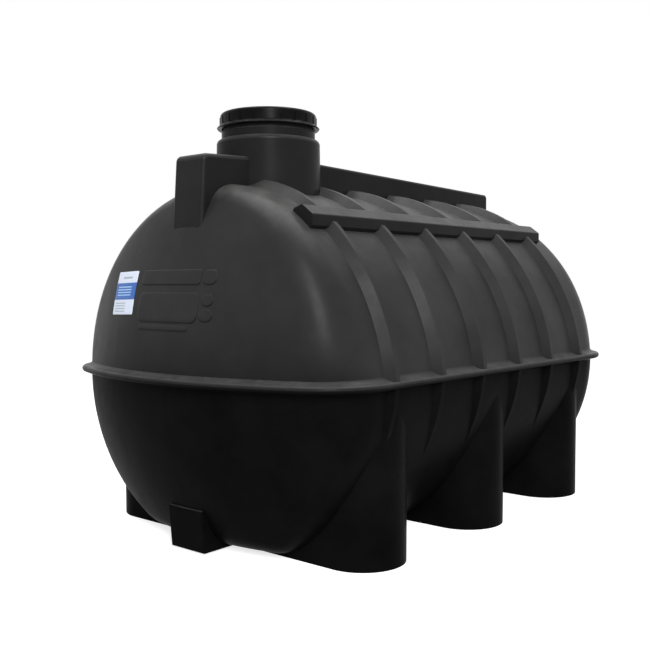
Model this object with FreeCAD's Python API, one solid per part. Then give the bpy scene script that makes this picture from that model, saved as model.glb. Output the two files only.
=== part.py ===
"""Horizontal rotomoulded water tank, 2000 litres, standing on six moulded legs.

Frame: X along the tank with the neck towards -X, Y across, +Z up.
The origin lies on the ground under the middle of the tank. Lengths are millimetres.
"""
import FreeCAD, Part
import math
import os

from FreeCAD import Vector

# Body
wall = 8.0
half_length = 980.0
half_width = 613.0
belly_clearance = 10.0
belly_cut = 74.0
belly_corner_radius = 150.0
crown_radius_share = 0.914
crown_half_angle = 40.0

# Ends, seen in plan and from the side
end_plan_radius = 1254.0
upper_end_radius = 1119.0
lower_end_radius = 960.0
corner_radius = 204.0
middle_knuckle_radius = 110.0
end_arc_angle = 60.0

# Parting lip round the middle
lip_overhang = 33.0
lip_rise = 27.0
lip_drop = 24.0
lip_nose_radius = 11.0
lip_flank_hollow = 4.0
lip_bite = 2.0

# Hoop ribs, evenly spread, the outer ones set back from the tips of the ends
rib_count = 6
rib_near_inset = 346.0
rib_far_inset = 384.0
rib_base_width = 70.0
rib_crest_width = 18.0
rib_height = 25.0
lower_rib_reach = 26.5

# Shoulder rails, set back from the tips of the ends, with their angles from upright
rail_near_inset = 245.0
rail_far_inset = 280.0
rail_inner_angle = 32.0
rail_outer_angle = 40.5
rail_flank_angle = 2.0
rail_height = 26.0
rail_edge_radius = 6.0

# Block before the neck and fin behind it, with their rise above the barrel's crown
spine_half_width = 68.0
block_edge_radius = 14.0
fin_edge_radius = 9.0
block_front_inset = 119.0
block_front_rise = 83.0
block_neck_rise = 100.0
block_lean_angle = 4.0
fin_end_inset = 135.0
fin_end_rise = 76.0
fin_neck_rise = 105.0

# Neck
neck_corner_gap = 13.0
collar_radius = 175.0
collar_rise = 165.0
collar_draft_angle = 0.7
collar_shoulder_radius = 16.0
neck_radius = 154.0
neck_rise = 79.0
neck_foot_step = 4.5
neck_foot_height = 28.0

# Lid
lid_clearance = 5.0
lid_wall = 4.0
lid_depth = 53.0
lid_top_thickness = 6.0
lid_edge_radius = 12.0
lid_ring_flare = 11.0
lid_ring_thickness = 7.0
lid_grip_count = 21
lid_grip_height = 2.0
lid_grip_width = 6.0
lid_grip_end_gap = 14.0
seal_thickness = 4.0
seat_gap = 0.3

# Legs, the outer ones set back from the tips of the ends
leg_end_inset = 388.0
leg_half_width = 137.0
leg_outer_y = 606.0
leg_inner_y = 187.0
leg_draft_angle = 1.2

# Drain pads on the lower ends
pad_half_width = 78.0
pad_bottom = 6.0
pad_height = 136.0
pad_proud = 6.0
pad_lean_angle = 5.5
pad_edge_radius = 9.0

belly_depth = half_width - belly_cut
parting_height = belly_clearance + belly_depth
crown_height = parting_height + half_width
end_axis_x = half_length - end_plan_radius
corner_centre_y = half_width - corner_radius
corner_centre_x = end_axis_x + math.sqrt((end_plan_radius - corner_radius) ** 2 - corner_centre_y ** 2)
end_half_angle = math.degrees(math.asin(corner_centre_y / (end_plan_radius - corner_radius)))
neck_x = collar_radius + neck_corner_gap - corner_centre_x
collar_height = crown_height + collar_rise
neck_top = collar_height + neck_rise
lid_underside = neck_top + seat_gap + seal_thickness
lid_top = lid_underside + lid_top_thickness
lid_bottom = lid_top - lid_depth
spine_foot_height = parting_height + half_width / 2
crown_radius = half_width * crown_radius_share
crown_centre = Vector(0, 0, half_width - crown_radius)
ORIGIN = Vector(0, 0, 0)
UP = Vector(0, 0, 1)
ALONG = Vector(1, 0, 0)
ACROSS = Vector(0, 1, 0)


def in_section(y, z):
    """Return a point of the cross section at x = 0."""
    return Vector(0, y, z)


def turned_point(centre, radius, turn):
    """Return the point of the section at a radius from a centre, turned from upright towards +Y."""
    return in_section(centre.y + radius * math.sin(turn), centre.z + radius * math.cos(turn))


def side_arc():
    """Return the centre and radius of the arc that runs smoothly from the crown arc to the lip."""
    join = math.radians(crown_half_angle)
    start = turned_point(crown_centre, crown_radius, join)
    outwards = in_section(math.sin(join), math.cos(join))
    chord = start - in_section(half_width, 0)
    radius = chord.Length ** 2 / (2 * chord.dot(outwards))
    return start - outwards * radius, radius


side_centre, side_radius = side_arc()
side_foot_angle = math.degrees(math.acos(-side_centre.z / side_radius))


def box(x0, x1, y0, y1, z0, z1):
    """Return a box between the given planes."""
    return Part.makeBox(x1 - x0, y1 - y0, z1 - z0, Vector(x0, y0, z0))


def mirrored(shape, normal):
    """Return the shape mirrored in the plane through the origin with that normal."""
    return shape.mirror(ORIGIN, normal)


def arc(start, middle, end):
    """Return the edge of a circular arc through three points."""
    return Part.Arc(start, middle, end).toShape()


def line(start, end):
    """Return a straight edge."""
    return Part.makeLine(start, end)


def outward(solid):
    """Return the solid with its faces turned outwards."""
    if solid.Volume < 0:
        solid.reverse()
    return solid


def corner_arc(before, point, after, radius):
    """Return the start, middle and end of the arc that rounds a corner."""
    back = (before - point).normalize()
    ahead = (after - point).normalize()
    half_angle = back.getAngle(ahead) / 2
    inset = radius / math.tan(half_angle)
    bisector = (back + ahead).normalize()
    middle = point + bisector * (radius / math.sin(half_angle) - radius)
    return point + back * inset, middle, point + ahead * inset


def rounded_face(corners):
    """Return a face bounded by straight lines, from (point, radius) corners; radius 0 is sharp."""
    points = [point for point, radius in corners]
    turns = []
    for index, (point, radius) in enumerate(corners):
        after = points[(index + 1) % len(points)]
        turns.append(corner_arc(points[index - 1], point, after, radius) if radius else (point, None, point))
    edges = []
    for index, (start, middle, end) in enumerate(turns):
        if middle:
            edges.append(arc(start, middle, end))
        edges.append(line(end, turns[(index + 1) % len(turns)][0]))
    return Part.Face(Part.Wire(edges))


def hollow_arc(start, end, hollow):
    """Return an arc in a plane along Y and Z that bows to the right of the way from start to end."""
    chord = end - start
    bow = Vector(0, chord.z, -chord.y).normalize() * hollow
    return arc(start, (start + end) / 2 + bow, end)


def with_round_edges(solid, radius, wanted):
    """Return the solid with the edges whose bounding box passes the test rounded."""
    return solid.makeFillet(radius, [edge for edge in solid.Edges if wanted(edge.BoundBox)])


def upper_section(inset):
    """Return the edges of the upper quarter section: a flatter side arc under the crown arc."""
    crown = crown_radius - inset
    side = side_radius - inset
    join = math.radians(crown_half_angle)
    foot = math.acos(-side_centre.z / side)
    foot_point = in_section(side_centre.y + side * math.sin(foot), 0)
    top = in_section(0, crown_centre.z + crown)
    join_point = turned_point(crown_centre, crown, join)
    return [
        line(in_section(0, 0), foot_point),
        arc(foot_point, turned_point(side_centre, side, (foot + join) / 2), join_point),
        arc(join_point, turned_point(crown_centre, crown, join / 2), top),
        line(top, in_section(0, 0)),
    ]


def lower_section(inset):
    """Return the edges of the lower quarter section, measured down from the parting plane."""
    radius = half_width - inset
    depth = belly_depth - inset
    corner = belly_corner_radius - inset
    corner_z = depth - corner
    corner_y = math.sqrt((radius - corner) ** 2 - corner_z ** 2)
    side_turn = math.atan2(corner_z, corner_y)
    bend_turn = (side_turn + math.pi / 2) / 2

    def on_side(turn):
        return in_section(radius * math.cos(turn), radius * math.sin(turn))

    bend_middle = in_section(corner_y + corner * math.cos(bend_turn), corner_z + corner * math.sin(bend_turn))
    return [
        line(in_section(0, 0), in_section(radius, 0)),
        arc(in_section(radius, 0), on_side(side_turn / 2), on_side(side_turn)),
        arc(on_side(side_turn), bend_middle, in_section(corner_y, depth)),
        line(in_section(corner_y, depth), in_section(0, depth)),
        line(in_section(0, depth), in_section(0, 0)),
    ]


def end_tool(inset, radius):
    """Return the solid behind a round end wall: an upright arc turned a quarter about an upright axis."""
    apex = half_length - inset

    def on_wall(angle):
        turn = math.radians(angle)
        return Vector(apex - radius + radius * math.cos(turn), 0, radius * math.sin(turn))

    tip = on_wall(end_arc_angle)
    foot = Vector(end_axis_x, 0, 0)
    head = Vector(end_axis_x, 0, tip.z)
    edges = [
        line(foot, on_wall(0)),
        arc(on_wall(0), on_wall(end_arc_angle / 2), tip),
        line(tip, head),
        line(head, foot),
    ]
    face = Part.Face(Part.Wire(edges))
    return outward(face.revolve(foot, UP, 90))


def knuckle_start(quarter):
    """Return the edge at the parting plane where the barrel meets the end wall."""
    end_wall = max(quarter.Faces, key=lambda face: face.CenterOfMass.x)

    def lies_in_a_cut(edge):
        span = edge.BoundBox
        return span.ZMax < 0.01 or span.YMax < 0.01

    edges = [edge for edge in end_wall.Edges if not lies_in_a_cut(edge)]
    return min(edges, key=lambda edge: edge.BoundBox.ZMin)


def section(inset, upper):
    """Return the face of the upper or lower quarter section."""
    edges = upper_section(inset) if upper else lower_section(inset)
    return Part.Face(Part.Wire(edges))


def in_place(shape, upper):
    """Return a shape that was drawn upwards from the parting plane, moved to its half of the tank."""
    placed = shape if upper else mirrored(shape, UP)
    placed.translate(Vector(0, 0, parting_height))
    return outward(placed)


def half_body(inset, upper):
    """Return the solid upper or lower half of the body, inset by a wall thickness."""
    end_radius = (upper_end_radius if upper else lower_end_radius) - inset
    barrel = outward(section(inset, upper).extrude(Vector(half_length, 0, 0)))
    quarter = barrel.common(end_tool(inset, end_radius))
    at_lip = corner_radius - inset
    at_middle = middle_knuckle_radius - inset
    start = knuckle_start(quarter)
    from_lip = start.firstVertex(True).Point.z < start.lastVertex(True).Point.z
    radii = (at_lip, at_middle) if from_lip else (at_middle, at_lip)
    quarter = quarter.makeFillet(radii[0], radii[1], [start])
    side = quarter.fuse(mirrored(quarter, ACROSS))
    half = side.fuse(mirrored(side, ALONG)).removeSplitter()
    return in_place(half, upper)


def barrel_shell(upper):
    """Return the straight barrel between the corners: one wall round half the section."""
    wall_face = section(0.0, upper).cut(section(wall, upper))
    start = Vector(-corner_centre_x, 0, 0)
    wall_face.translate(start)
    quarter = outward(wall_face.extrude(-2 * start))
    return in_place(quarter.fuse(mirrored(quarter, ACROSS)).removeSplitter(), upper)


def end_shell(upper):
    """Return the round wall beyond the corners at x > 0."""
    reach = half_length + lip_overhang
    shell = half_body(0.0, upper).cut(half_body(wall, upper))
    return shell.common(box(corner_centre_x, reach, -reach, reach, 0, crown_height + wall))


def lip_profile(y, x=0.0):
    """Return the lip's section as a face at a point of the outline, reaching out along +Y."""
    def at(out, up):
        return Vector(x, y + out, parting_height + up)

    nose = lip_nose_radius
    shoulder = lip_overhang - nose
    root = -wall / 2
    edges = [
        line(at(root, -lip_drop), at(root, lip_rise)),
        hollow_arc(at(root, lip_rise), at(shoulder, nose), lip_flank_hollow),
        arc(at(shoulder, nose), at(lip_overhang, 0), at(shoulder, -nose)),
        hollow_arc(at(shoulder, -nose), at(root, -lip_drop), lip_flank_hollow),
    ]
    return Part.Face(Part.Wire(edges))


def lip_side():
    """Return the straight run of the lip along the side at y > 0."""
    run = corner_centre_x
    return lip_profile(half_width, -run).extrude(Vector(2 * run, 0, 0))


def lip_end():
    """Return the lip round the end at x > 0: a shallow arc between two corner arcs."""
    turn = 90.0 - end_half_angle
    corner = lip_profile(half_width, corner_centre_x).revolve(Vector(corner_centre_x, corner_centre_y, 0), UP, -turn)
    profile = lip_profile(end_plan_radius, 0.0)
    profile.rotate(ORIGIN, UP, end_half_angle - 90.0)
    profile.translate(Vector(end_axis_x, 0, 0))
    middle = profile.revolve(Vector(end_axis_x, 0, 0), UP, -2 * end_half_angle)
    return outward(corner).fuse(outward(middle)).fuse(mirrored(outward(corner), ACROSS)).removeSplitter()


def rib_profile(x, inner, crest):
    """Return a rib's section, from inside the shell up to its flat crest."""
    half_base = rib_base_width / 2
    half_crest = rib_crest_width / 2
    return rounded_face([
        (Vector(x - half_base, 0, inner), 0),
        (Vector(x - half_base, 0, crest - rib_height), 0),
        (Vector(x - half_crest, 0, crest), 0),
        (Vector(x + half_crest, 0, crest), 0),
        (Vector(x + half_base, 0, crest - rib_height), 0),
        (Vector(x + half_base, 0, inner), 0),
    ])


def rib_run(x, centre, radius, start, end):
    """Return the run of an upper rib that follows one arc of the section, between two turns from upright."""
    profile = rib_profile(x, radius - wall, radius + rib_height)
    profile.rotate(ORIGIN, ALONG, -start)
    run = profile.revolve(ORIGIN, ALONG, start - end)
    run.translate(centre)
    return outward(run)


def upper_rib(x):
    """Return a whole upper hoop rib, from lip to lip over the barrel."""
    crown = rib_run(x, crown_centre, crown_radius, -crown_half_angle, crown_half_angle)
    side = rib_run(x, side_centre, side_radius, crown_half_angle, side_foot_angle)
    hoop = crown.fuse([side, mirrored(side, ACROSS)]).removeSplitter()
    hoop.translate(Vector(0, 0, parting_height))
    return outward(hoop)


def lower_rib(x):
    """Return a lower rib at y < 0: a hoop centred above the barrel's axis, so that it runs out downwards."""
    rise = rib_height / math.sin(math.radians(lower_rib_reach))
    crest = half_width + rib_height
    profile = rib_profile(x, half_width - 3 * wall, crest)
    profile.rotate(ORIGIN, ALONG, 90)
    side = outward(profile.revolve(ORIGIN, ALONG, 2 * lower_rib_reach))
    side.translate(Vector(0, 0, parting_height + rise))
    return side.common(box(x - rib_base_width, x + rib_base_width, -crest, 0, belly_clearance, parting_height))


def rail(side):
    """Return a shoulder rail: a low beam along the barrel with sloped flanks."""
    near_x = rail_near_inset - half_length
    far_x = half_length - rail_far_inset

    def at(rise, angle):
        turn = math.radians(angle)
        radius = half_width + rise
        return Vector(near_x, side * radius * math.sin(turn), parting_height + radius * math.cos(turn))

    face = rounded_face([
        (at(-2 * rail_height, rail_inner_angle), 0),
        (at(0, rail_inner_angle), 0),
        (at(rail_height, rail_inner_angle + rail_flank_angle), rail_edge_radius),
        (at(rail_height, rail_outer_angle - rail_flank_angle), rail_edge_radius),
        (at(0, rail_outer_angle), 0),
        (at(-2 * rail_height, rail_outer_angle), 0),
    ])
    return outward(face.extrude(Vector(far_x - near_x, 0, 0)))


def spine(end_x, foot_end_x, end_rise, neck_rise_there, edge_radius):
    """Return the block or fin that runs from the neck to an end, with a sloped top and rounded edges."""
    face = rounded_face([
        (Vector(end_x, -spine_half_width, crown_height + end_rise), edge_radius + wall),
        (Vector(neck_x, -spine_half_width, crown_height + neck_rise_there), 0),
        (Vector(neck_x, -spine_half_width, spine_foot_height), 0),
        (Vector(foot_end_x, -spine_half_width, spine_foot_height), 0),
    ])
    solid = outward(face.extrude(Vector(0, 2 * spine_half_width, 0)))

    def shows(span):
        flat_on_a_side = span.YLength < 0.01
        at_the_foot = span.ZMax < spine_foot_height + 0.01
        at_the_neck = max(abs(span.XMin - neck_x), abs(span.XMax - neck_x)) < 0.01
        return flat_on_a_side and not at_the_foot and not at_the_neck

    return with_round_edges(solid, edge_radius, shows)


def front_block():
    """Return the block between the near end and the neck, with a leaning face."""
    front_x = block_front_inset - half_length
    height = crown_height + block_front_rise - spine_foot_height
    lean = height * math.tan(math.radians(block_lean_angle))
    return spine(front_x, front_x - lean, block_front_rise, block_neck_rise, block_edge_radius)


def rear_fin():
    """Return the fin that runs from the neck to the far end."""
    end_x = half_length - fin_end_inset
    return spine(end_x, end_x, fin_end_rise, fin_neck_rise, fin_edge_radius)


def round_solid(points):
    """Return a solid turned about the neck's axis from (radius, height) points."""
    face = rounded_face([(Vector(neck_x + radius, 0, height), 0) for radius, height in points])
    return outward(face.revolve(Vector(neck_x, 0, 0), UP, 360))


def neck_column(radius, top):
    """Return a round column on the neck's axis, from inside the body up to a height."""
    return Part.makeCylinder(radius, top - parting_height, Vector(neck_x, 0, parting_height))


def with_round_rim(solid, height, radius, size):
    """Return the solid with its circular edge of one radius and height rounded."""
    def is_rim(span):
        return abs(span.ZMin - height) < 0.01 and abs(span.ZMax - height) < 0.01 and abs(span.YMax - radius) < 0.01

    return with_round_edges(solid, size, is_rim)


def collar_column():
    """Return the collar's full outside: a slightly tapered column with a round shoulder."""
    spread = (collar_height - parting_height) * math.tan(math.radians(collar_draft_angle))
    column = Part.makeCone(collar_radius + spread, collar_radius, collar_height - parting_height,
                           Vector(neck_x, 0, parting_height))
    return with_round_rim(column, collar_height, collar_radius, collar_shoulder_radius)


def neck_collar():
    """Return the collar: an open column with a flat shoulder round the neck's hole."""
    hollow = neck_column(collar_radius - wall, collar_height - wall)
    return collar_column().cut(hollow).cut(neck_column(neck_radius - wall, collar_height + wall))


def neck_rim():
    """Return the upright rim that the lid screws on, with a small step at its foot."""
    foot_radius = neck_radius + neck_foot_step
    foot_top = collar_height + neck_foot_height
    return round_solid([
        (neck_radius - wall, collar_height),
        (foot_radius, collar_height),
        (foot_radius, foot_top - neck_foot_step),
        (neck_radius, foot_top),
        (neck_radius, neck_top),
        (neck_radius - wall, neck_top),
    ])


def lid():
    """Return the screw lid: a cap with a rounded edge, grip ribs and a flared ring at its foot."""
    inner = neck_radius + lid_clearance
    outer = inner + lid_wall
    ring_top = lid_bottom + 2 * lid_ring_thickness
    cap = Part.makeCylinder(outer, lid_top - lid_bottom, Vector(neck_x, 0, lid_bottom))
    cap = with_round_rim(cap, lid_top, outer, lid_edge_radius)
    ring = round_solid([
        (inner, lid_bottom),
        (outer + lid_ring_flare - lid_ring_thickness / 3, lid_bottom),
        (outer + lid_ring_flare, lid_bottom + lid_ring_thickness / 2),
        (outer, ring_top),
        (inner, ring_top),
    ])
    cap = cap.fuse(ring)
    for index in range(lid_grip_count):
        grip = box(inner + lid_wall / 2, outer + lid_grip_height, -lid_grip_width / 2, lid_grip_width / 2,
                   ring_top - lid_ring_thickness, lid_top - lid_grip_end_gap)
        grip.rotate(ORIGIN, UP, 360.0 * index / lid_grip_count)
        grip.translate(Vector(neck_x, 0, 0))
        cap = cap.fuse(grip)
    hollow = Part.makeCylinder(inner, lid_underside - lid_bottom, Vector(neck_x, 0, lid_bottom))
    return cap.cut(hollow)


def lid_seal():
    """Return the flat ring under the lid that closes on the rim."""
    inner = neck_radius - 2 * wall
    outer = neck_radius + lid_clearance / 2
    return round_solid([
        (inner, neck_top + seat_gap),
        (outer, neck_top + seat_gap),
        (outer, lid_underside),
        (inner, lid_underside),
    ])


def leg_plan(x, side, height):
    """Return a leg's outline at a height: straight flanks and a half-round outer end."""
    grow = height * math.tan(math.radians(leg_draft_angle))
    half = leg_half_width + grow
    round_y = leg_outer_y - half
    inner = leg_inner_y - grow
    return Part.Wire([
        line(Vector(x - half, side * inner, height), Vector(x + half, side * inner, height)),
        line(Vector(x + half, side * inner, height), Vector(x + half, side * round_y, height)),
        arc(Vector(x + half, side * round_y, height), Vector(x, side * leg_outer_y, height),
            Vector(x - half, side * round_y, height)),
        line(Vector(x - half, side * round_y, height), Vector(x - half, side * inner, height)),
    ])


def leg(x, side):
    """Return a leg as a drafted column, before the belly is cut out of it."""
    top = parting_height - lip_drop - wall
    return outward(Part.makeLoft([leg_plan(x, side, 0.0), leg_plan(x, side, top)], True, True))


def drain_pad(end):
    """Return the pad low on an end wall that an outlet is cut into."""
    top = pad_bottom + pad_height
    wall_x = half_length - lower_end_radius + math.sqrt(lower_end_radius ** 2 - (parting_height - top) ** 2)
    face_x = wall_x + pad_proud
    lean = pad_height * math.tan(math.radians(pad_lean_angle))
    face = rounded_face([
        (Vector(end * face_x, -pad_half_width, top), pad_edge_radius),
        (Vector(end * (face_x - lean), -pad_half_width, pad_bottom), 0),
        (Vector(end * corner_centre_x, -pad_half_width, pad_bottom), 0),
        (Vector(end * corner_centre_x, -pad_half_width, top), 0),
    ])
    solid = outward(face.extrude(Vector(0, 2 * pad_half_width, 0)))

    def upright_at_the_face(span):
        return span.YLength < 0.01 and span.XLength < lean + 0.01 and span.ZLength > pad_height / 2 and \
            abs(span.XMin + span.XMax) > 2 * corner_centre_x + 1

    return with_round_edges(solid, pad_edge_radius / 2, upright_at_the_face)


def cut_by(shape, tools):
    """Return the shape with every tool cut away."""
    for tool in tools:
        shape = shape.cut(tool)
    return shape


def build_parts():
    """Return every piece of the tank by name."""
    parts = {}
    upper_hull = half_body(0.0, True)
    lower_hull = half_body(0.0, False)
    mouth = neck_column(collar_radius - wall, crown_height)
    for half, upper in (("upper", True), ("lower", False)):
        end = end_shell(upper)
        parts["near_end_" + half] = mirrored(end, ALONG)
        parts[half + "_barrel"] = barrel_shell(upper)
        parts["far_end_" + half] = end
    for name in ("near_end_upper", "upper_barrel"):
        parts[name] = parts[name].cut(mouth)

    hulls = [upper_hull, lower_hull]
    lip_seats = [half_body(lip_bite, True), lower_hull]
    side = cut_by(lip_side(), lip_seats)
    end = cut_by(lip_end(), lip_seats)
    lips = {
        "lip_left": side,
        "lip_right": mirrored(side, ACROSS),
        "lip_far": end,
        "lip_near": mirrored(end, ALONG),
    }
    parts.update(lips)
    for name, seated in (
        ("near_end_upper", ["lip_near"]),
        ("upper_barrel", ["lip_left", "lip_right"]),
        ("far_end_upper", ["lip_far"]),
    ):
        parts[name] = cut_by(parts[name], [lips[lip] for lip in seated])

    collar = collar_column()
    parts["neck_collar"] = neck_collar().cut(upper_hull)
    parts["neck_rim"] = neck_rim()
    parts["lid"] = lid()
    parts["lid_seal"] = lid_seal()
    parts["front_block"] = cut_by(front_block(), [upper_hull, collar])
    parts["rear_fin"] = cut_by(rear_fin(), [upper_hull, collar])
    rails = {"left_rail": rail(1), "right_rail": rail(-1)}
    for name, beam in rails.items():
        parts[name] = beam.cut(upper_hull)

    legs = {}
    outer_leg_x = half_length - leg_end_inset
    for place, x in (("near", -outer_leg_x), ("middle", 0.0), ("far", outer_leg_x)):
        for side_name, side_sign in (("left", 1), ("right", -1)):
            legs[place + "_" + side_name + "_leg"] = leg(x, side_sign).cut(lower_hull)
    parts.update(legs)

    upper_stops = hulls + [collar, front_block(), rear_fin()] + list(rails.values()) + list(lips.values())
    lower_stops = [lower_hull] + list(lips.values()) + list(legs.values())
    first_rib_x = rib_near_inset - half_length
    rib_pitch = (half_length - rib_far_inset - first_rib_x) / (rib_count - 1)
    for index in range(rib_count):
        x = first_rib_x + index * rib_pitch
        number = str(index + 1)
        parts["upper_rib_" + number] = cut_by(upper_rib(x), upper_stops)
        right = cut_by(lower_rib(x), lower_stops)
        parts["lower_rib_" + number] = Part.Compound([right, mirrored(right, ACROSS)])

    parts["near_drain_pad"] = drain_pad(-1).cut(lower_hull)
    parts["far_drain_pad"] = drain_pad(1).cut(lower_hull)
    return parts


def main():
    """Write one file for each piece."""
    os.makedirs("parts", exist_ok=True)
    for name, shape in build_parts().items():
        shape.exportStep("parts/" + name + ".step")
        print(name, len(shape.Solids), shape.isValid(), round(shape.Volume / 1e6, 3))


if __name__ == "__main__":
    main()
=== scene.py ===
"""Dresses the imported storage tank: moulded plastic, blank relief, label, neck thread, studio and camera."""
import logging
import math
from collections.abc import Iterable, Sequence
from dataclasses import dataclass, field
from enum import Enum

import bmesh
import bpy
from mathutils import Matrix, Vector


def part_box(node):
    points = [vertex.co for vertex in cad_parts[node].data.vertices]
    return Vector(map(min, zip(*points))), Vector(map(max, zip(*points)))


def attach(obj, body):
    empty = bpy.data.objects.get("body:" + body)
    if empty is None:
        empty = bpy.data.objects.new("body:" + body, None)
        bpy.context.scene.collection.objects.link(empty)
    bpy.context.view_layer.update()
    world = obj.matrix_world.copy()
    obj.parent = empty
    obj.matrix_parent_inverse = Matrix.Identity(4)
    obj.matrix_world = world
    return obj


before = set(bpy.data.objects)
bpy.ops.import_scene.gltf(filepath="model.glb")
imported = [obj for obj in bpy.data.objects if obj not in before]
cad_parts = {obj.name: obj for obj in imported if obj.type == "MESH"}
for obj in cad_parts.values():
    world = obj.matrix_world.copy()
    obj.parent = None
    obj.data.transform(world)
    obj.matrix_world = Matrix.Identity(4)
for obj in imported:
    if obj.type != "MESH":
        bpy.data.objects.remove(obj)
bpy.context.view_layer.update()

log = logging.getLogger("storage_tank")

Colour = tuple[float, float, float]
Span = tuple[float, float]
Point = tuple[float, float]
Socket = bpy.types.NodeSocket

WHITE = (1.0, 1.0, 1.0, 1.0)
WHOLE = (0.0, 1.0)
PLASTIC_IOR = 1.5

# Sockets of the colour mix node, which share their names with its other types
MIX_FIRST, MIX_SECOND, MIX_RESULT = 6, 7, 2

# Edge of a laid patch: inset as a share of its edge width, height as a share of its rise
EDGE_PROFILE = ((0.0, -0.6), (0.0, 0.45), (0.35, 0.85), (1.0, 1.0))
CORNER_STEPS = 7
LEAST_CORNER = 1e-4

# Distances in metres under which points are one, and the slack of a count
MERGE_DISTANCE = 1e-6
SPINE_MERGE_DISTANCE = 1e-5
COUNT_SLACK = 1e-6
LEAST_LENGTH = 1e-9


class Body(Enum):
    """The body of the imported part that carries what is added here."""

    TANK = "tank"


class Slot(Enum):
    """The record's material slots."""

    SHELL = "moulded_shell"
    LID = "lid_plastic"
    SEAL = "seal_rubber"

    @classmethod
    def of(cls, node: str) -> "Slot":
        """Return the slot that a CAD node takes its finish from."""
        return {"lid": cls.LID, "lid_seal": cls.SEAL}.get(node, cls.SHELL)


@dataclass(frozen=True)
class Cloud:
    """A noise pattern, in waves for each metre, and the values that it is spread to."""

    scale: float
    detail: float
    roughness: float = 0.5
    to: Span = WHOLE
    over: Span = WHOLE


@dataclass(frozen=True)
class Bump:
    """A cloud that lifts the surface, with its depth in metres."""

    cloud: Cloud
    strength: float
    depth: float


class NodeSheet:
    """A shader tree being written, with short calls for the nodes that the finishes share."""

    def __init__(self, name: str) -> None:
        """Start an empty material.

        Args:
            name: the material's name.
        """
        self.material = bpy.data.materials.new(name)
        self.material.use_nodes = True
        self.tree = self.material.node_tree
        self.tree.nodes.clear()
        output = self.tree.nodes.new("ShaderNodeOutputMaterial")
        self.shader = self.tree.nodes.new("ShaderNodeBsdfPrincipled")
        self.join(self.shader.outputs["BSDF"], output.inputs["Surface"])
        self.place = self.tree.nodes.new("ShaderNodeTexCoord").outputs["Object"]

    def join(self, source: Socket, target: Socket) -> None:
        """Link two sockets."""
        self.tree.links.new(source, target)

    def feed(self, name: str, source: Socket) -> None:
        """Link a socket to a named input of the shader."""
        self.join(source, self.shader.inputs[name])

    def constant(self, **values: float | tuple[float, ...]) -> None:
        """Set fixed values on the shader, with underscores for the blanks in socket names."""
        for key, value in values.items():
            self.shader.inputs[key.replace("_", " ")].default_value = value

    def part(self, source: Socket, axis: str) -> Socket:
        """Return one axis of a vector.

        Args:
            source: the vector.
            axis: X, Y or Z.

        Returns:
            The axis's value.
        """
        node = self.tree.nodes.new("ShaderNodeSeparateXYZ")
        self.join(source, node.inputs[0])
        return node.outputs[axis]

    def noise(self, cloud: Cloud) -> Socket:
        """Add a cloud on the piece's own coordinates, as it is.

        Args:
            cloud: the pattern.

        Returns:
            The pattern's factor.
        """
        node = self.tree.nodes.new("ShaderNodeTexNoise")
        node.inputs["Scale"].default_value = cloud.scale
        node.inputs["Detail"].default_value = cloud.detail
        node.inputs["Roughness"].default_value = cloud.roughness
        self.join(self.place, node.inputs["Vector"])
        return node.outputs["Fac"]

    def clouded(self, cloud: Cloud) -> Socket:
        """Add a cloud and spread it to its values."""
        return self.spread(self.noise(cloud), cloud.to, cloud.over)

    def spread(self, source: Socket, to: Span, over: Span = WHOLE) -> Socket:
        """Map a factor onto a range.

        Args:
            source: the factor.
            to: values at the ends of the range.
            over: factors that give those values.

        Returns:
            The mapped value.
        """
        node = self.tree.nodes.new("ShaderNodeMapRange")
        for key, value in zip(("From Min", "From Max", "To Min", "To Max"), (*over, *to)):
            node.inputs[key].default_value = value
        self.join(source, node.inputs["Value"])
        return node.outputs["Result"]

    def blend(self, factor: Socket, first: Colour | Socket, second: Colour | Socket) -> Socket:
        """Mix two colours.

        Args:
            factor: share of the second colour.
            first: colour or socket at 0.
            second: colour or socket at 1.

        Returns:
            The mixed colour.
        """
        node = self.tree.nodes.new("ShaderNodeMix")
        node.data_type = "RGBA"
        self.join(factor, node.inputs["Factor"])
        for key, value in ((MIX_FIRST, first), (MIX_SECOND, second)):
            if isinstance(value, tuple):
                node.inputs[key].default_value = (*value, 1.0)
            else:
                self.join(value, node.inputs[key])
        return node.outputs[MIX_RESULT]

    def calculate(self, operation: str, first: Socket | float, second: Socket | float) -> Socket:
        """Add a math node.

        Args:
            operation: the node's operation.
            first: first value or socket.
            second: second value or socket.

        Returns:
            The result.
        """
        node = self.tree.nodes.new("ShaderNodeMath")
        node.operation = operation
        for index, value in enumerate((first, second)):
            if isinstance(value, (int, float)):
                node.inputs[index].default_value = value
            else:
                self.join(value, node.inputs[index])
        return node.outputs[0]

    def relief(self, bumps: Sequence[Bump]) -> None:
        """Stack bumps into the shader's normal.

        Args:
            bumps: the layers, coarse first.
        """
        normal = None
        for bump in bumps:
            node = self.tree.nodes.new("ShaderNodeBump")
            node.inputs["Strength"].default_value = bump.strength
            node.inputs["Distance"].default_value = bump.depth
            self.join(self.noise(bump.cloud), node.inputs["Height"])
            if normal is not None:
                self.join(normal, node.inputs["Normal"])
            normal = node.outputs["Normal"]
        self.feed("Normal", normal)


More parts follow.
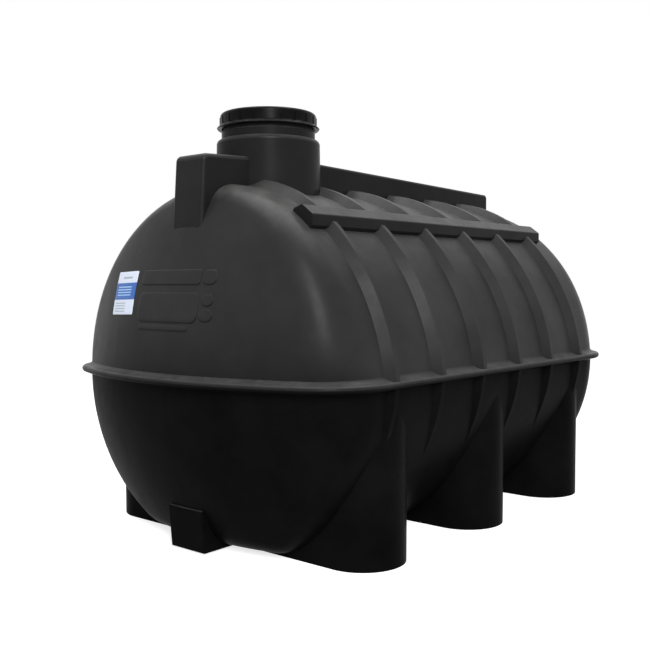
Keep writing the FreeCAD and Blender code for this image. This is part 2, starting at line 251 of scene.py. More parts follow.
@dataclass(frozen=True)
class MouldedShell:
    """Satin black polyethylene with painted light above the parting lip, so the lower half stays dark as
    painted shade, and dust that also paints light on tops that look up, with orange peel and waves.
    """

    dark: Colour = (0.0024, 0.0024, 0.0025)
    pale: Colour = (0.0046, 0.0046, 0.0047)
    # Painted light: a paler colour laid on the shell above the parting lip, so the lower half reads as
    # painted shade
    haze_and_painted_light: Colour = (0.0215, 0.0215, 0.0217)
    # Dust on faces that look up, set pale enough to also paint the light that falls on these tops
    dust_and_top_light: Colour = (0.088, 0.0875, 0.0855)
    # Specular level where the painted light is absent and where it is full, so reflections below the lip stay
    # dark as painted shade
    specular: Span = (0.006, 0.075)
    parting_heights: Span = (0.543, 0.556)
    # Share of the painted light on upright faces, and the slopes over which it grows to full
    upright_share: float = 0.45
    upright_slopes: Span = (0.0, 0.16)
    dust_and_top_light_share: float = 0.55
    lying_slopes: Span = (0.52, 0.93)
    tint: Cloud = Cloud(5.5, 5.0, 0.62, WHOLE, (0.3, 0.7))
    # Noise that mottles the painted light above the lip
    painted_light_mottle: Cloud = Cloud(3.2, 5.0, 0.6, (0.7, 1.0), (0.35, 0.65))
    # Noise film that breaks up the dust and painted top light
    film: Cloud = Cloud(14.0, 6.0, 0.7, (0.4, 1.0), (0.38, 0.66))
    gloss: Cloud = Cloud(22.0, 4.0, 0.6, (0.33, 0.4), (0.3, 0.7))
    bumps: tuple[Bump, ...] = (
        Bump(Cloud(9.0, 2.0), 0.35, 0.004),
        Bump(Cloud(240.0, 2.0), 0.16, 0.0006),
    )

    def material(self) -> bpy.types.Material:
        """Write the finish.

        Returns:
            The finish as a material.
        """
        sheet = NodeSheet("moulded_polyethylene")
        sheet.constant(IOR=PLASTIC_IOR, Metallic=0.0)
        slope = sheet.part(sheet.tree.nodes.new("ShaderNodeNewGeometry").outputs["Normal"], "Z")
        # Painted light mask: above the lip, fuller on faces that turn up, mottled by noise
        above_lip = sheet.spread(sheet.part(sheet.place, "Z"), WHOLE, self.parting_heights)
        slope_light_share = sheet.spread(slope, (self.upright_share, 1.0), self.upright_slopes)
        painted_light_share = sheet.calculate("MULTIPLY", sheet.calculate("MULTIPLY", above_lip, slope_light_share),
                                sheet.clouded(self.painted_light_mottle))
        # Dust and painted top light on faces that look up, broken by the noise film
        lying = sheet.spread(slope, (0.0, self.dust_and_top_light_share), self.lying_slopes)
        dust_and_top_light_mask = sheet.calculate("MULTIPLY", lying, sheet.clouded(self.film))
        clean = sheet.blend(sheet.clouded(self.tint), self.dark, self.pale)
        # Base colour: random tint, then the painted light above the lip, then dust with painted top light
        sheet.feed("Base Color", sheet.blend(dust_and_top_light_mask, sheet.blend(painted_light_share, clean, self.haze_and_painted_light), self.dust_and_top_light))
        # The specular level follows the painted light mask, so reflections fade below the lip as painted
        # shade
        sheet.feed("Specular IOR Level", sheet.spread(painted_light_share, self.specular))
        sheet.feed("Roughness", sheet.clouded(self.gloss))
        sheet.relief(self.bumps)
        return sheet.material


@dataclass(frozen=True)
class LidPlastic:
    """Glossy black injection moulding with a faint haze."""

    black: Colour = (0.0018, 0.0018, 0.0022)
    haze_and_painted_light: Colour = (0.0038, 0.0038, 0.0043)
    specular: float = 0.05
    cloud: Cloud = Cloud(30.0, 4.0, 0.6, (0.26, 0.36), (0.3, 0.7))
    bumps: tuple[Bump, ...] = (Bump(Cloud(420.0, 2.0), 0.1, 0.0003),)

    def material(self) -> bpy.types.Material:
        """Write the finish.

        Returns:
            The finish as a material.
        """
        sheet = NodeSheet("gloss_lid_plastic")
        sheet.constant(Specular_IOR_Level=self.specular, IOR=PLASTIC_IOR, Metallic=0.0)
        cloud = sheet.noise(self.cloud)
        sheet.feed("Base Color", sheet.blend(cloud, self.black, self.haze_and_painted_light))
        sheet.feed("Roughness", sheet.spread(cloud, self.cloud.to, self.cloud.over))
        sheet.relief(self.bumps)
        return sheet.material


@dataclass(frozen=True)
class SealRubber:
    """Matt black rubber with a talc bloom."""

    black: Colour = (0.014, 0.014, 0.014)
    bloom: Colour = (0.035, 0.035, 0.034)
    specular: float = 0.3
    cloud: Cloud = Cloud(60.0, 5.0, 0.65, (0.7, 0.9))
    bumps: tuple[Bump, ...] = (Bump(Cloud(700.0, 2.0), 0.2, 0.0003),)

    def material(self) -> bpy.types.Material:
        """Write the finish.

        Returns:
            The finish as a material.
        """
        sheet = NodeSheet("seal_rubber_matt")
        sheet.constant(Specular_IOR_Level=self.specular, Metallic=0.0)
        cloud = sheet.noise(self.cloud)
        sheet.feed("Base Color", sheet.blend(cloud, self.black, self.bloom))
        sheet.feed("Roughness", sheet.spread(cloud, self.cloud.to, self.cloud.over))
        sheet.relief(self.bumps)
        return sheet.material


@dataclass(frozen=True)
class Bars:
    """A block of plain bars, with its limits across and up the film as shares of its size."""

    across: Span
    up: Span
    colour: Colour
    striped: bool = True


@dataclass(frozen=True)
class LabelFilm:
    """White film with a blue band and plain bars, on the label's own UV map."""

    white: Colour = (0.62, 0.68, 0.8)
    blue: Colour = (0.004, 0.085, 0.36)
    band: Span = (0.345, 0.735)
    stripes: float = 16.0
    stripe_share: float = 0.42
    blocks: tuple[Bars, ...] = (
        Bars((0.12, 0.8), (0.40, 0.68), (0.3, 0.5, 0.78)),
        Bars((0.1, 0.62), (0.05, 0.28), (0.33, 0.38, 0.46)),
        Bars((0.3, 0.75), (0.83, 0.88), (0.33, 0.38, 0.46), striped=False),
    )
    specular: float = 0.5
    gloss: Cloud = Cloud(90.0, 4.0, 0.5, (0.3, 0.45))
    bumps: tuple[Bump, ...] = (Bump(Cloud(160.0, 3.0), 0.25, 0.0005),)

    def _window(self, sheet: NodeSheet, axis: Socket, limits: Span) -> Socket:
        """Return 1 where the coordinate lies between two limits."""
        above = sheet.calculate("GREATER_THAN", axis, limits[0])
        return sheet.calculate("MULTIPLY", above, sheet.calculate("LESS_THAN", axis, limits[1]))

    def material(self) -> bpy.types.Material:
        """Write the finish.

        Returns:
            The finish as a material.
        """
        sheet = NodeSheet("printed_film")
        sheet.constant(Specular_IOR_Level=self.specular, Metallic=0.0)
        uv = sheet.tree.nodes.new("ShaderNodeUVMap")
        uv.uv_map = "label"
        across, up = (sheet.part(uv.outputs["UV"], axis) for axis in "XY")
        phase = sheet.calculate("FRACT", sheet.calculate("MULTIPLY", up, self.stripes), 0.0)
        rows = sheet.calculate("LESS_THAN", phase, self.stripe_share)
        ground = sheet.blend(self._window(sheet, up, self.band), self.white, self.blue)
        for block in self.blocks:
            mask = sheet.calculate("MULTIPLY", self._window(sheet, across, block.across),
                                   self._window(sheet, up, block.up))
            if block.striped:
                mask = sheet.calculate("MULTIPLY", mask, rows)
            ground = sheet.blend(mask, ground, block.colour)
        sheet.feed("Base Color", ground)
        sheet.feed("Roughness", sheet.clouded(self.gloss))
        sheet.relief(self.bumps)
        return sheet.material


@dataclass(frozen=True)
class StudioFloor:
    """Pale floor that camera, glossy and transmission rays see as white where no shadow falls."""

    colour: Colour = (0.6, 0.6, 0.6)
    worn_share: float = 0.985
    glow: float = 0.76
    roughness: float = 0.9
    grain: Cloud = Cloud(3.0, 2.0)

    def material(self) -> bpy.types.Material:
        """Write the finish.

        Returns:
            The finish as a material.
        """
        sheet = NodeSheet("studio_floor")
        sheet.constant(Specular_IOR_Level=0.0, Roughness=self.roughness, Emission_Color=WHITE)
        worn = tuple(value * self.worn_share for value in self.colour)
        sheet.feed("Base Color", sheet.blend(sheet.noise(self.grain), worn, self.colour))
        sheet.feed("Emission Strength", sheet.calculate("MULTIPLY", seen_ray(sheet.tree), self.glow))
        return sheet.material


def seen_ray(tree: bpy.types.NodeTree) -> Socket:
    """Add a test of the ray that is being shaded.

    Args:
        tree: the shader tree to add it to.

    Returns:
        1 for camera, glossy and transmission rays, otherwise 0.
    """
    path = tree.nodes.new("ShaderNodeLightPath")
    total = path.outputs["Is Camera Ray"]
    for name in ("Is Glossy Ray", "Is Transmission Ray"):
        node = tree.nodes.new("ShaderNodeMath")
        node.operation = "MAXIMUM"
        tree.links.new(total, node.inputs[0])
        tree.links.new(path.outputs[name], node.inputs[1])
        total = node.outputs[0]
    return total


class Palette:
    """The finishes, each made once."""

    def __init__(self) -> None:
        """Make every finish."""
        self.film = LabelFilm().material()
        self.shell = MouldedShell().material()
        self.slots = {
            Slot.SHELL: self.shell,
            Slot.LID: LidPlastic().material(),
            Slot.SEAL: SealRubber().material(),
        }

    def of(self, slot: Slot) -> bpy.types.Material:
        """Return the material of a slot."""
        return self.slots[slot]


class GeometryTree:
    """A geometry node tree being written, with named inputs that a modifier sets."""

    def __init__(self, name: str, **inputs: str) -> None:
        """Start a tree with a geometry input and output.

        Args:
            name: the tree's name.
            inputs: socket type of each further input, without its prefix, such as Float.
        """
        self.tree = bpy.data.node_groups.new(name, "GeometryNodeTree")
        for side in ("OUTPUT", "INPUT"):
            self._socket("Geometry", side, "Geometry")
        self.identifiers = {key: self._socket(key, "INPUT", kind).identifier for key, kind in inputs.items()}
        self.source = self.tree.nodes.new("NodeGroupInput")

    def _socket(self, name: str, side: str, kind: str) -> bpy.types.NodeTreeInterfaceSocket:
        """Add a socket to the tree's interface."""
        return self.tree.interface.new_socket(name=name, in_out=side, socket_type="NodeSocket" + kind)

    def add(self, kind: str, **options: str) -> bpy.types.Node:
        """Add a node and set its options.

        Args:
            kind: the node's type.
            options: value of each option.

        Returns:
            The node.
        """
        node = self.tree.nodes.new(kind)
        for key, value in options.items():
            setattr(node, key, value)
        return node

    def read(self, name: str) -> Socket:
        """Return the socket of a named input."""
        return self.source.outputs[name]

    def join(self, source: Socket, target: Socket) -> None:
        """Link two sockets."""
        self.tree.links.new(source, target)

    def close(self, geometry: Socket) -> None:
        """End the tree in real geometry with its material.

        Args:
            geometry: the finished geometry.
        """
        real = self.add("GeometryNodeRealizeInstances")
        paint = self.add("GeometryNodeSetMaterial")
        end = self.tree.nodes.new("NodeGroupOutput")
        self.join(geometry, real.inputs[0])
        self.join(real.outputs[0], paint.inputs["Geometry"])
        self.join(self.read("Material"), paint.inputs["Material"])
        self.join(paint.outputs[0], end.inputs[0])

    def grow(self, seed_mesh: bpy.types.Mesh, name: str,
             values: dict[str, float | Vector | bpy.types.ID]) -> bpy.types.Object:
        """Run the tree on a mesh and keep the result as a plain mesh.

        Args:
            seed_mesh: the mesh that the modifier starts from.
            name: the finished piece's name.
            values: a value for each named input.

        Returns:
            The finished piece, with no modifier.
        """
        carrier = bpy.data.objects.new(name + "_seed", seed_mesh)
        bpy.context.scene.collection.objects.link(carrier)
        modifier = carrier.modifiers.new("grow", "NODES")
        modifier.node_group = self.tree
        for key, value in values.items():
            modifier[self.identifiers[key]] = value
        carrier.update_tag()
        bpy.context.view_layer.update()
        graph = bpy.context.evaluated_depsgraph_get()
        mesh = bpy.data.meshes.new_from_object(carrier.evaluated_get(graph))
        carrier.modifiers.remove(modifier)
        bpy.data.objects.remove(carrier)
        mesh.name = name
        piece = bpy.data.objects.new(name, mesh)
        bpy.context.scene.collection.objects.link(piece)
        return piece


def finished(mesh: bpy.types.Mesh, smooth_angle: float) -> None:
    """Merge doubles, turn the faces outwards and smooth the gentle edges of a mesh.

    Args:
        mesh: the mesh to finish.
        smooth_angle: edges up to this many degrees are shaded smooth.
    """
    form = bmesh.new()
    form.from_mesh(mesh)
    bmesh.ops.remove_doubles(form, verts=form.verts, dist=MERGE_DISTANCE)
    bmesh.ops.recalc_face_normals(form, faces=form.faces)
    limit = math.radians(smooth_angle)
    for face in form.faces:
        face.smooth = True
    for edge in form.edges:
        edge.smooth = len(edge.link_faces) == 2 and edge.calc_face_angle(0.0) < limit
    form.to_mesh(mesh)
    form.free()


@dataclass
class SurfaceLayer:
    """Thin pieces laid on the near end: they are drawn flat, then dropped along the tank onto the shell."""

    drop_from: float = -1.3
    reach: float = 0.9
    heading: tuple[float, float, float] = (1.0, 0.0, 0.0)
    shell_node: str = "near_end_upper"
    tree: GeometryTree = field(init=False)

    def __post_init__(self) -> None:
        """Write the tree that lays a flat mesh on the shell."""
        made = GeometryTree("lay_on_shell", Shell="Object", Reach="Float", Rise="Float", Material="Material")
        shell = made.add("GeometryNodeObjectInfo", transform_space="ORIGINAL")
        made.join(made.read("Shell"), shell.inputs["Object"])
        ray = made.add("GeometryNodeRaycast")
        ray.inputs["Ray Direction"].default_value = self.heading
        made.join(shell.outputs["Geometry"], ray.inputs["Target Geometry"])
        made.join(made.read("Reach"), ray.inputs["Ray Length"])
        height = made.add("GeometryNodeInputNamedAttribute", data_type="FLOAT")
        height.inputs["Name"].default_value = "height"
        lift = made.add("ShaderNodeMath", operation="MULTIPLY")
        made.join(height.outputs["Attribute"], lift.inputs[0])
        made.join(made.read("Rise"), lift.inputs[1])
        outwards = made.add("ShaderNodeVectorMath", operation="SCALE")
        made.join(ray.outputs["Hit Normal"], outwards.inputs[0])
        made.join(lift.outputs[0], outwards.inputs["Scale"])
        landed = made.add("ShaderNodeVectorMath", operation="ADD")
        made.join(ray.outputs["Hit Position"], landed.inputs[0])
        made.join(outwards.outputs[0], landed.inputs[1])
        move = made.add("GeometryNodeSetPosition")
        made.join(made.read("Geometry"), move.inputs["Geometry"])
        made.join(ray.outputs["Is Hit"], move.inputs["Selection"])
        made.join(landed.outputs[0], move.inputs["Position"])
        made.close(move.outputs[0])
        self.tree = made

    def lay(self, mesh: bpy.types.Mesh, name: str, rise: float,
            material: bpy.types.Material) -> bpy.types.Object:
        """Lay a flat mesh on the shell.

        Args:
            mesh: a mesh in the plane x = drop_from, with a height attribute that is 1 at its top.
            name: the piece's name.
            rise: thickness over the shell in metres.
            material: the piece's finish.

        Returns:
            The finished piece.
        """
        return self.tree.grow(mesh, name, {
            "Shell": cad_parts[self.shell_node], "Reach": self.reach, "Rise": rise,
            "Material": material,
        })


@dataclass(frozen=True)
class Patch:
    """A rounded rectangle on the near end, by its middle and its size across and up, in metres."""

    across: float
    up: float
    width: float
    height: float
    corner: float
    tilt: float = 0.0

    def ring(self, inset: float) -> list[Point]:
        """Draw the outline, set in from the edge.

        Args:
            inset: distance in from the edge.

        Returns:
            The outline's points in order, as (across, up) pairs.
        """
        half_w, half_h = self.width / 2 - inset, self.height / 2 - inset
        radius = max(min(self.corner - inset, half_w, half_h), LEAST_CORNER)
        points = []
        for turn, sx, sy in ((0, 1, 1), (1, -1, 1), (2, -1, -1), (3, 1, -1)):
            for step in range(CORNER_STEPS):
                angle = math.pi / 2 * (turn + step / (CORNER_STEPS - 1))
                x = sx * (half_w - radius) + radius * math.cos(angle)
                y = sy * (half_h - radius) + radius * math.sin(angle)
                points.append((x, y))
        turned = math.radians(self.tilt)
        return [(self.across + x * math.cos(turned) - y * math.sin(turned),
                 self.up + x * math.sin(turned) + y * math.cos(turned)) for x, y in points]

    def share(self, across: float, up: float) -> Point:
        """Find a point's place on the patch.

        Args:
            across: the point's place across the tank.
            up: its height.

        Returns:
            Its place as shares of the patch's width and height.
        """
        turned = math.radians(-self.tilt)
        x, y = across - self.across, up - self.up
        u = x * math.cos(turned) - y * math.sin(turned)
        v = x * math.sin(turned) + y * math.cos(turned)
        return u / self.width + 0.5, v / self.height + 0.5


def bridge(form: bmesh.types.BMesh, low: Sequence[bmesh.types.BMVert],
           high: Sequence[bmesh.types.BMVert]) -> None:
    """Join two closed rings of as many points with a band of faces.

    Args:
        form: the mesh being written.
        low: the first ring.
        high: the second ring.
    """
    count = len(low)
    for i in range(count):
        j = (i + 1) % count
        form.faces.new((low[i], low[j], high[j], high[i]))


def flat_patch(patches: Iterable[Patch], plane_x: float, edge: float, spacing: float,
               name: str) -> bpy.types.Mesh:
    """Draw flat patches with a skirt and a rounded edge, ready to be laid on a surface.

    Args:
        patches: the patches to draw.
        plane_x: place of their plane along the tank.
        edge: width of the rounded edge.
        spacing: largest gap between points on straight runs.
        name: the mesh's name.

    Returns:
        A mesh with a height attribute and a label UV map.
    """
    form = bmesh.new()
    rise = form.verts.layers.float.new("height")
    uv = form.loops.layers.uv.new("label")
    for patch in patches:
        rings = []
        for inset, height in EDGE_PROFILE:
            outline = subdivided(patch.ring(inset * edge), spacing)
            if rings and len(outline) != len(rings[0]):
                outline = resampled(outline, len(rings[0]))
            ring = [form.verts.new((plane_x, -x, z)) for x, z in outline]
            for vertex in ring:
                vertex[rise] = height
            rings.append(ring)
        for low, high in zip(rings, rings[1:]):
            bridge(form, low, high)
        fill_patch(form, rings[-1], patch, plane_x, spacing, rise)
        for loop in (loop for face in form.faces for loop in face.loops):
            across, up = -loop.vert.co.y, loop.vert.co.z
            if abs(across - patch.across) < patch.width and abs(up - patch.up) < patch.height:
                loop[uv].uv = patch.share(across, up)
    mesh = bpy.data.meshes.new(name)
    form.to_mesh(mesh)
    form.free()
    return mesh


def subdivided(points: Sequence[Point], spacing: float) -> list[Point]:
    """Add points on the long runs of a closed outline.

    Args:
        points: the outline.
        spacing: largest gap between points.

    Returns:
        The outline with its added points.
    """
    result = []
    for start, end in zip(points, [*points[1:], points[0]]):
        steps = max(1, math.ceil(math.dist(start, end) / spacing - COUNT_SLACK))
        result += [between(start, end, step / steps) for step in range(steps)]
    return result


def resampled(points: Sequence[Point], count: int) -> list[Point]:
    """Spread a number of points evenly along a closed outline.

    Args:
        points: the outline.
        count: how many points to give it.

    Returns:
        The outline with its new points.
    """
    closed = [*points, points[0]]
    lengths = [0.0]
    for start, end in zip(closed, closed[1:]):
        lengths.append(lengths[-1] + math.dist(start, end))
    result = []
    index = 0
    for step in range(count):
        target = lengths[-1] * step / count
        while lengths[index + 1] < target:
            index += 1
        part = (target - lengths[index]) / max(lengths[index + 1] - lengths[index], LEAST_LENGTH)
        result.append(between(closed[index], closed[index + 1], part))
    return result


def between(start: Point, end: Point, part: float) -> Point:
    """Return the point that lies a share of the way from one point to another."""
    return start[0] + (end[0] - start[0]) * part, start[1] + (end[1] - start[1]) * part


def fill_patch(form: bmesh.types.BMesh, ring: Sequence[bmesh.types.BMVert], patch: Patch,
               plane_x: float, spacing: float, rise: bmesh.types.BMLayerItem) -> None:
    """Fill a patch's top with rings that close on its middle line, fine enough to follow the shell.

    Args:
        form: the mesh being written.
        ring: the top's outer ring.
        patch: the patch.
        plane_x: place of its plane along the tank.
        spacing: largest gap between the rings.
        rise: the height attribute.
    """
    outline = [(-vertex.co.y, vertex.co.z) for vertex in ring]
    short, long = sorted((patch.width, patch.height))
    steps = max(2, math.ceil(short / 2 / spacing))
    spine = long / 2 - short / 2
    turned = math.radians(patch.tilt)
    wide = patch.width >= patch.height
    axis = (math.cos(turned), math.sin(turned)) if wide else (-math.sin(turned), math.cos(turned))
    last = list(ring)
    for step in range(1, steps + 1):
        current = []
        for x, z in outline:
            along = (x - patch.across) * axis[0] + (z - patch.up) * axis[1]
            along = max(-spine, min(spine, along))
            goal = (patch.across + axis[0] * along, patch.up + axis[1] * along)
            across, up = between((x, z), goal, step / steps)
            vertex = form.verts.new((plane_x, -across, up))
            vertex[rise] = 1.0
            current.append(vertex)
        bridge(form, last, current)
        last = current
    bmesh.ops.remove_doubles(form, verts=last, dist=SPINE_MERGE_DISTANCE)


@dataclass
class BlankRelief:
    """Low raised plates on the near end, left blank: a name plate, a size plate, a strip and three marks."""

    rise: float = 0.0026
    edge: float = 0.004
    spacing: float = 0.012
    smooth_angle: float = 50.0
    plates: tuple[Patch, ...] = (
        Patch(-0.011, 0.8625, 0.277, 0.047, 0.010),
        Patch(-0.007, 0.770, 0.281, 0.092, 0.022),
        Patch(-0.016, 0.708, 0.230, 0.018, 0.006),
    )
    marks: tuple[Patch, ...] = (
        Patch(0.162, 0.862, 0.053, 0.045, 0.018),
        Patch(0.167, 0.794, 0.045, 0.037, 0.0184),
        Patch(0.167, 0.7485, 0.053, 0.037, 0.0184),
    )

    def build(self, layer: SurfaceLayer, palette: Palette) -> list[bpy.types.Object]:
        """Lay the plates.

        Args:
            layer: lays flat meshes on the shell.
            palette: the finishes.

        Returns:
            The finished pieces.
        """
        made = []
        for name, patches in (("blank_plates", self.plates), ("blank_marks", self.marks)):
            flat = flat_patch(patches, layer.drop_from, self.edge, self.spacing, name)
            piece = layer.lay(flat, name, self.rise, palette.shell)
            finished(piece.data, self.smooth_angle)
            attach(piece, Body.TANK.value)
            made.append(piece)
        return made


@dataclass
class SideLabel:
    """The printed film stuck beside the relief, with plain bars in place of print."""

    rise: float = 0.0006
    edge: float = 0.0004
    spacing: float = 0.008
    smooth_angle: float = 60.0
    patch: Patch = Patch(-0.2505, 0.8134, 0.137, 0.139, 0.003, 1.5)

    def build(self, layer: SurfaceLayer, palette: Palette) -> list[bpy.types.Object]:
        """Lay the label.

        Args:
            layer: lays flat meshes on the shell.
            palette: the finishes.

        Returns:
            The finished piece, in a list.
        """
        flat = flat_patch((self.patch,), layer.drop_from, self.edge, self.spacing, "side_label")
        piece = layer.lay(flat, "side_label", self.rise, palette.film)
        finished(piece.data, self.smooth_angle)
        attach(piece, Body.TANK.value)
        return [piece]


@dataclass
class NeckThread:
    """The screw thread round the neck that the lid turns on."""

    foot_step: float = 0.0045
    depth: float = 0.0028
    pitch: float = 0.016
    turns: float = 1.75
    wire_height: float = 0.0062
    crest_share: float = 0.45
    top_gap: float = 0.012
    turn_steps: int = 96
    taper_share: float = 0.05
    tip_scale: float = 0.05
    smooth_angle: float = 40.0
    tree: GeometryTree = field(init=False)

    def __post_init__(self) -> None:
        """Write the tree that sweeps a tapered thread along a helix."""
        made = GeometryTree("sweep_thread", Radius="Float", Length="Float", Turns="Float", Depth="Float",
                            Height="Float", Place="Vector", Material="Material")
        helix = made.add("GeometryNodeCurveSpiral")
        helix.inputs["Resolution"].default_value = self.turn_steps
        for name, source in (("Rotations", "Turns"), ("Start Radius", "Radius"), ("End Radius", "Radius"),
                             ("Height", "Length")):
            made.join(made.read(source), helix.inputs[name])
        level = made.add("GeometryNodeSetCurveNormal", mode="Z_UP")
        made.join(helix.outputs[0], level.inputs["Curve"])
        along = made.add("GeometryNodeSplineParameter")
        ends = made.add("ShaderNodeFloatCurve")
        taper = ends.mapping.curves[0]
        for index, x in enumerate(WHOLE):
            taper.points[index].location = (x, self.tip_scale)
        for x in (self.taper_share, 1.0 - self.taper_share):
            taper.points.new(x, 1.0)
        ends.mapping.update()
        made.join(along.outputs["Factor"], ends.inputs["Value"])
        profile = made.add("GeometryNodeCurvePrimitiveQuadrilateral", mode="TRAPEZOID")
        crest = made.add("ShaderNodeMath", operation="MULTIPLY")
        crest.inputs[1].default_value = self.crest_share
        made.join(made.read("Height"), crest.inputs[0])
        made.join(made.read("Height"), profile.inputs["Bottom Width"])
        made.join(crest.outputs[0], profile.inputs["Top Width"])
        made.join(made.read("Depth"), profile.inputs["Height"])
        profile.inputs["Offset"].default_value = 0.0
        turned = made.add("GeometryNodeTransform")
        turned.inputs["Rotation"].default_value = (0.0, 0.0, -math.pi / 2)
        made.join(profile.outputs[0], turned.inputs["Geometry"])
        sweep = made.add("GeometryNodeCurveToMesh")
        sweep.inputs["Fill Caps"].default_value = True
        made.join(level.outputs[0], sweep.inputs["Curve"])
        made.join(turned.outputs[0], sweep.inputs["Profile Curve"])
        made.join(ends.outputs[0], sweep.inputs["Scale"])
        move = made.add("GeometryNodeTransform")
        made.join(sweep.outputs[0], move.inputs["Geometry"])
        made.join(made.read("Place"), move.inputs["Translation"])
        made.close(move.outputs[0])
        self.tree = made

    def build(self, palette: Palette) -> list[bpy.types.Object]:
        """Seat the thread on the neck, half of its profile sunk into it.

        Args:
            palette: the finishes.

        Returns:
            The finished piece, in a list.
        """
        low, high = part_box("neck_rim")
        centre = (low + high) / 2
        length = self.pitch * self.turns
        seed = bpy.data.meshes.new("thread_seed")
        piece = self.tree.grow(seed, "neck_thread", {
            "Radius": (high.y - low.y) / 2 - self.foot_step,
            "Length": length,
            "Turns": self.turns,
            "Depth": 2 * self.depth,
            "Height": self.wire_height,
            "Place": Vector((centre.x, centre.y, high.z - self.top_gap - length)),
            "Material": palette.shell,
        })
        finished(piece.data, self.smooth_angle)
        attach(piece, Body.TANK.value)
        return [piece]


@dataclass
class LipBead:
    """The fine parting bead that the mould leaves along the lip's outer edge."""

    half_length: float = 0.980
    half_width: float = 0.613
    end_radius: float = 1.254
    corner_radius: float = 0.204
    overhang: float = 0.033
    height: float = 0.549
    bead: float = 0.0007
    bead_sides: int = 8
    arc_step: float = 0.03
    corner_detail: int = 3
    smooth_angle: float = 60.0
    tree: GeometryTree = field(init=False)

    def __post_init__(self) -> None:
        """Write the tree that turns a closed line into a round bead."""
        made = GeometryTree("round_bead", Bead="Float", Material="Material")
        path = made.add("GeometryNodeMeshToCurve")
        made.join(made.read("Geometry"), path.inputs["Mesh"])
        profile = made.add("GeometryNodeCurvePrimitiveCircle")
        profile.inputs["Resolution"].default_value = self.bead_sides
        made.join(made.read("Bead"), profile.inputs["Radius"])
        sweep = made.add("GeometryNodeCurveToMesh")
        made.join(path.outputs[0], sweep.inputs["Curve"])
        made.join(profile.outputs[0], sweep.inputs["Profile Curve"])
        made.close(sweep.outputs[0])
        self.tree = made

    def quarter(self) -> list[Point]:
        """Draw a quarter of the lip's outer edge.

        Returns:
            Its (x, y) points from the end's tip to the middle of the side.
        """
        side = self.half_width - self.corner_radius
        reach = self.end_radius - self.corner_radius
        axis_x = self.half_length - self.end_radius
        corner_x = axis_x + math.sqrt(reach ** 2 - side ** 2)
        turn = math.atan2(side, corner_x - axis_x)
        outer, small = self.end_radius + self.overhang, self.corner_radius + self.overhang
        points = []
        steps = max(2, round(turn * outer / self.arc_step))
        for step in range(steps):
            angle = turn * step / steps
            points.append((axis_x + outer * math.cos(angle), outer * math.sin(angle)))
        span = math.pi / 2 - turn
        steps = max(4, round(span * small / self.arc_step * self.corner_detail))
        for step in range(steps + 1):
            angle = turn + span * step / steps
            points.append((corner_x + small * math.cos(angle), side + small * math.sin(angle)))
        return points

    def build(self, palette: Palette) -> list[bpy.types.Object]:
        """Run the bead round the lip.

        Args:
            palette: the finishes.

        Returns:
            The finished piece, in a list.
        """
        one = self.quarter()
        left = [(-x, y) for x, y in reversed(one)]
        back = [(-x, -y) for x, y in one[1:]]
        front = [(x, -y) for x, y in reversed(one)]
        loop = [(x, y, self.height) for x, y in (*one, *left, *back, *front[:-1])]
        mesh = bpy.data.meshes.new("lip_path")
        mesh.from_pydata(loop, [(i, (i + 1) % len(loop)) for i in range(len(loop))], [])
        piece = self.tree.grow(mesh, "lip_bead", {"Bead": self.bead, "Material": palette.shell})
        finished(piece.data, self.smooth_angle)
        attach(piece, Body.TANK.value)
        return [piece]


class CadNodes:
    """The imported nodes, which stay as they are and take their finishes."""

    def build(self, palette: Palette) -> list[bpy.types.Object]:
        """Give every node its material.

        Args:
            palette: the finishes.

        Returns:
            The nodes.
        """
        for name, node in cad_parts.items():
            node.data.materials.clear()
            node.data.materials.append(palette.of(Slot.of(name)))
        return list(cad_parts.values())


@dataclass(frozen=True)
class Lamp:
    """A rectangular lamp, by its middle, its width and height, and its power in watts."""

    name: str
    place: tuple[float, float, float]
    size: Span
    power: float

    def build(self, target: Vector) -> None:
        """Hang the lamp.

        Args:
            target: the point that it looks at.
        """
        data = bpy.data.lights.new(self.name, "AREA")
        data.shape = "RECTANGLE"
        data.size, data.size_y = self.size
        data.energy = self.power
        lamp = bpy.data.objects.new(self.name, data)
        lamp.location = self.place
        lamp.rotation_mode = "QUATERNION"
        lamp.rotation_quaternion = (target - Vector(self.place)).to_track_quat("-Z", "Y")
        bpy.context.scene.collection.objects.link(lamp)


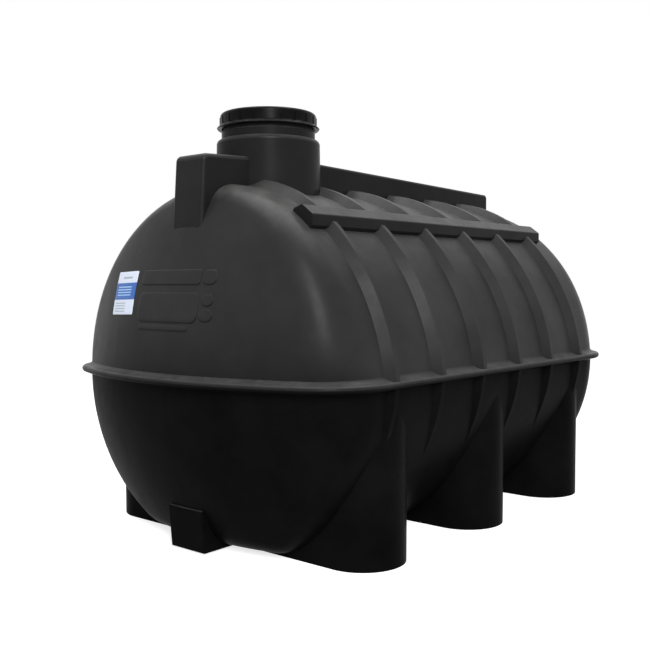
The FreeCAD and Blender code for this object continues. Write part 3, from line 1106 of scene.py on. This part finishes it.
@dataclass(frozen=True)
class Studio:
    """White room: pale floor, even sky, a soft lamp above and behind the camera and a broad one overhead."""

    floor_size: float = 60.0
    sky: float = 0.42
    lamps: tuple[Lamp, ...] = (
        Lamp("key", (-3.9, -4.0, 3.9), (1.1, 3.4), 400.0),
        Lamp("overhead", (0.2, 0.2, 5.2), (4.2, 3.0), 200.0),
    )
    target: tuple[float, float, float] = (0.0, 0.0, 0.7)

    def build(self) -> None:
        """Make the floor, the world and the lamps."""
        half = self.floor_size / 2
        corners = [(-half, -half, 0), (half, -half, 0), (half, half, 0), (-half, half, 0)]
        mesh = bpy.data.meshes.new("studio_floor")
        mesh.from_pydata(corners, [], [range(len(corners))])
        floor = bpy.data.objects.new("studio_floor", mesh)
        mesh.materials.append(StudioFloor().material())
        bpy.context.scene.collection.objects.link(floor)
        self.sky_light()
        for lamp in self.lamps:
            lamp.build(Vector(self.target))

    def sky_light(self) -> None:
        """Make the world: white where it is seen, softer where it lights the tank."""
        world = bpy.data.worlds.new("studio_sky")
        bpy.context.scene.world = world
        world.use_nodes = True
        tree = world.node_tree
        tree.nodes.clear()
        mix = tree.nodes.new("ShaderNodeMixShader")
        tree.links.new(seen_ray(tree), mix.inputs[0])
        for socket, strength in ((1, self.sky), (2, 1.0)):
            light = tree.nodes.new("ShaderNodeBackground")
            light.inputs["Color"].default_value = WHITE
            light.inputs["Strength"].default_value = strength
            tree.links.new(light.outputs[0], mix.inputs[socket])
        tree.links.new(mix.outputs[0], tree.nodes.new("ShaderNodeOutputWorld").inputs[0])


@dataclass(frozen=True)
class Viewpoint:
    """The camera at the photograph's angle, with its turns in degrees and its lens in millimetres."""

    place: tuple[float, float, float] = (-2.7184, -2.1265, 0.8442)
    yaw: float = 40.284
    pitch: float = 2.697
    roll: float = -0.151
    lens: float = 49.358
    sensor: float = 36.0
    clip: Span = (0.05, 200.0)

    def build(self) -> None:
        """Set the scene's camera."""
        yaw, pitch, roll = (math.radians(angle) for angle in (self.yaw, self.pitch, self.roll))
        ahead = Vector((math.cos(yaw) * math.cos(pitch), math.sin(yaw) * math.cos(pitch), -math.sin(pitch)))
        level = Vector((math.sin(yaw), -math.cos(yaw), 0.0))
        above = level.cross(ahead)
        right = level * math.cos(roll) + above * math.sin(roll)
        top = above * math.cos(roll) - level * math.sin(roll)
        turned = Matrix((right, top, -ahead)).transposed()
        data = bpy.data.cameras.new("camera")
        data.sensor_width = self.sensor
        data.lens = self.lens
        data.clip_start, data.clip_end = self.clip
        camera = bpy.data.objects.new("camera", data)
        camera.matrix_world = Matrix.Translation(self.place) @ turned.to_4x4()
        bpy.context.scene.collection.objects.link(camera)
        bpy.context.scene.camera = camera


def report(name: str, pieces: Sequence[bpy.types.Object]) -> None:
    """Log how many pieces and faces a sub-assembly made."""
    faces = sum(len(piece.data.polygons) for piece in pieces)
    log.info("%s: %d pieces, %d faces", name, len(pieces), faces)


def main() -> None:
    """Build the camera, the looks and the studio."""
    logging.basicConfig(level=logging.INFO, format="%(name)s: %(message)s")
    bpy.context.scene.view_settings.view_transform = "Standard"
    Viewpoint().build()
    palette = Palette()
    layer = SurfaceLayer()
    report("nodes", CadNodes().build(palette))
    report("blank relief", BlankRelief().build(layer, palette))
    report("label", SideLabel().build(layer, palette))
    report("neck thread", NeckThread().build(palette))
    report("lip bead", LipBead().build(palette))
    Studio().build()


if __name__ == "__main__":
    main()
